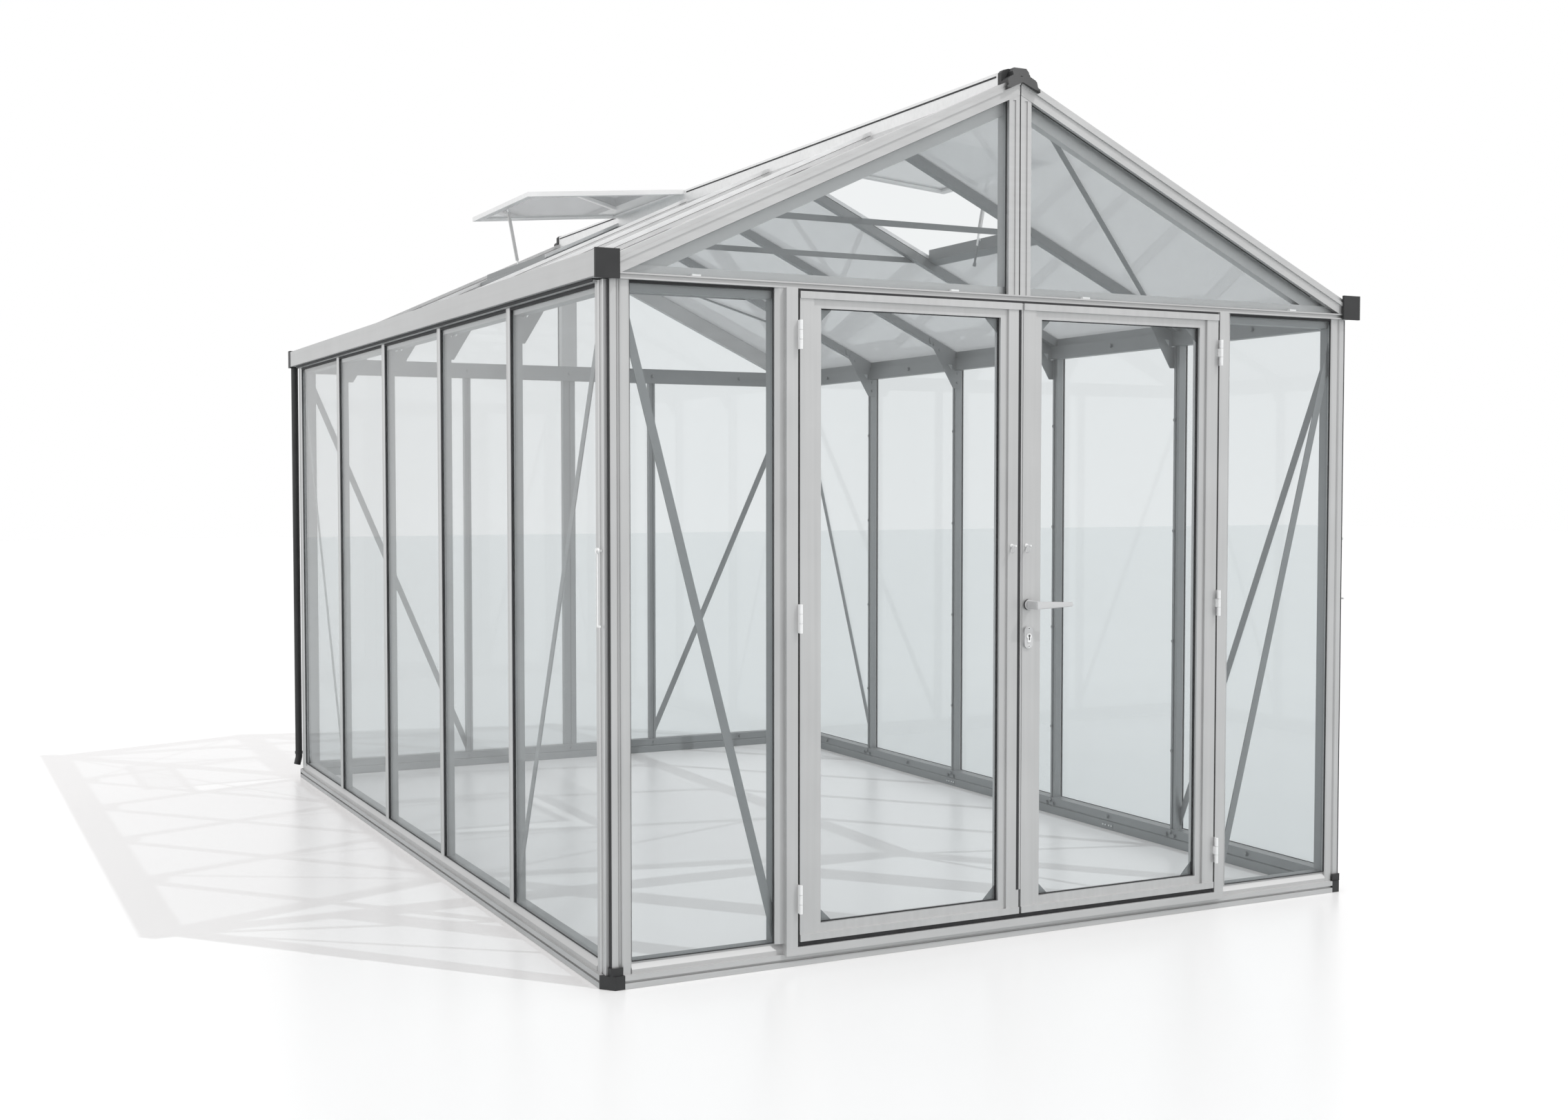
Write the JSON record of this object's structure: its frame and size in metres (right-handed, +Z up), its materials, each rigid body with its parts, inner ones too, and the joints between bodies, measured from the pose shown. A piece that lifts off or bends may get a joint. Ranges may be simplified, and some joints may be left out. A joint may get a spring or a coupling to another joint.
{
  "type": "greenhouse",
  "caption": "Aluminium and glass garden greenhouse with a pitched roof, a pair of hinged doors, open roof vents and eave gutters.",
  "frame": {"origin": "on the ground, under the middle of the whole object", "axes": "+X across the front, +Y from the door front into the house, +Z up"},
  "size_m": [2.603, 3.953, 2.507],
  "materials": {
    "aluminium": "mill finish, satin",
    "glass": "clear",
    "black_plastic": "matt black",
    "bright_metal": "bright",
    "handle_metal": "satin anodised"
  },
  "bodies": {
    "house": {"base_front": "aluminium", "base_back": "aluminium", "base_left": "aluminium", "base_right": "aluminium", "corner_posts_front": "aluminium", "corner_posts_back": "aluminium", "door_jambs": "aluminium", "wall_bars_left": "aluminium", "wall_bars_right": "aluminium", "wall_bars_back": "aluminium", "beam_front": "aluminium", "beam_back": "aluminium", "eave_rail_left": "aluminium", "eave_rail_right": "aluminium", "gutter_left": "aluminium", "gutter_right": "aluminium", "ridge_beam": "aluminium", "gable_frame_front": "aluminium", "gable_frame_back": "aluminium", "rafters_left": "aluminium", "rafters_right": "aluminium", "vent_left": "aluminium", "vent_right": "aluminium", "vent_sills": "aluminium", "vent_stays": "aluminium", "wall_braces": "aluminium", "roof_braces": "aluminium", "knee_brackets": "aluminium", "collar_ties": "aluminium", "glass_left": "glass", "glass_right": "glass", "glass_back": "glass", "glass_front": "glass", "glass_gable_front": "glass", "glass_gable_back": "glass", "glass_roof_left": "glass", "glass_roof_right": "glass", "vent_left_glass": "glass", "vent_right_glass": "glass", "corner_feet": "black_plastic", "gutter_caps": "black_plastic", "ridge_caps": "black_plastic", "downpipes": "black_plastic", "hinges_jamb": "bright_metal", "hook_eyes": "bright_metal"},
    "left_door": {"door_left": "aluminium", "door_left_glass": "glass", "hinges_leaf_left": "bright_metal"},
    "right_door": {"door_right": "aluminium", "door_right_glass": "glass", "hinges_leaf_right": "bright_metal", "lock_plate": "handle_metal"},
    "handle": {"door_handle": "handle_metal"},
    "left_hook": {"hook_left": "bright_metal"},
    "right_hook": {"hook_right": "bright_metal"}
  },
  "joints": [
    {"name": "left_door_hinge", "type": "hinge", "parent": "house", "child": "left_door", "pos_m": [-0.7215, -1.9295, 0.953], "axis": [0, 0, -1], "range_deg": [0, 165]},
    {"name": "right_door_hinge", "type": "hinge", "parent": "house", "child": "right_door", "pos_m": [0.7215, -1.9295, 0.953], "axis": [0, 0, 1], "range_deg": [0, 165]},
    {"name": "handle_turn", "type": "hinge", "parent": "right_door", "child": "handle", "pos_m": [0.0235, -1.9475, 0.969], "axis": [0, 1, 0], "range_deg": [0, 40], "stiffness_Nm_per_rad": 1.2, "springref_deg": -11.46},
    {"name": "left_hook_swing", "type": "hinge", "parent": "house", "child": "left_hook", "pos_m": [-1.2805, -1.8645, 1.144], "axis": [-1, 0, 0], "range_deg": [0, 60]},
    {"name": "right_hook_swing", "type": "hinge", "parent": "house", "child": "right_hook", "pos_m": [1.2805, -1.8645, 1.144], "axis": [-1, 0, 0], "range_deg": [0, 60]}
  ]
}
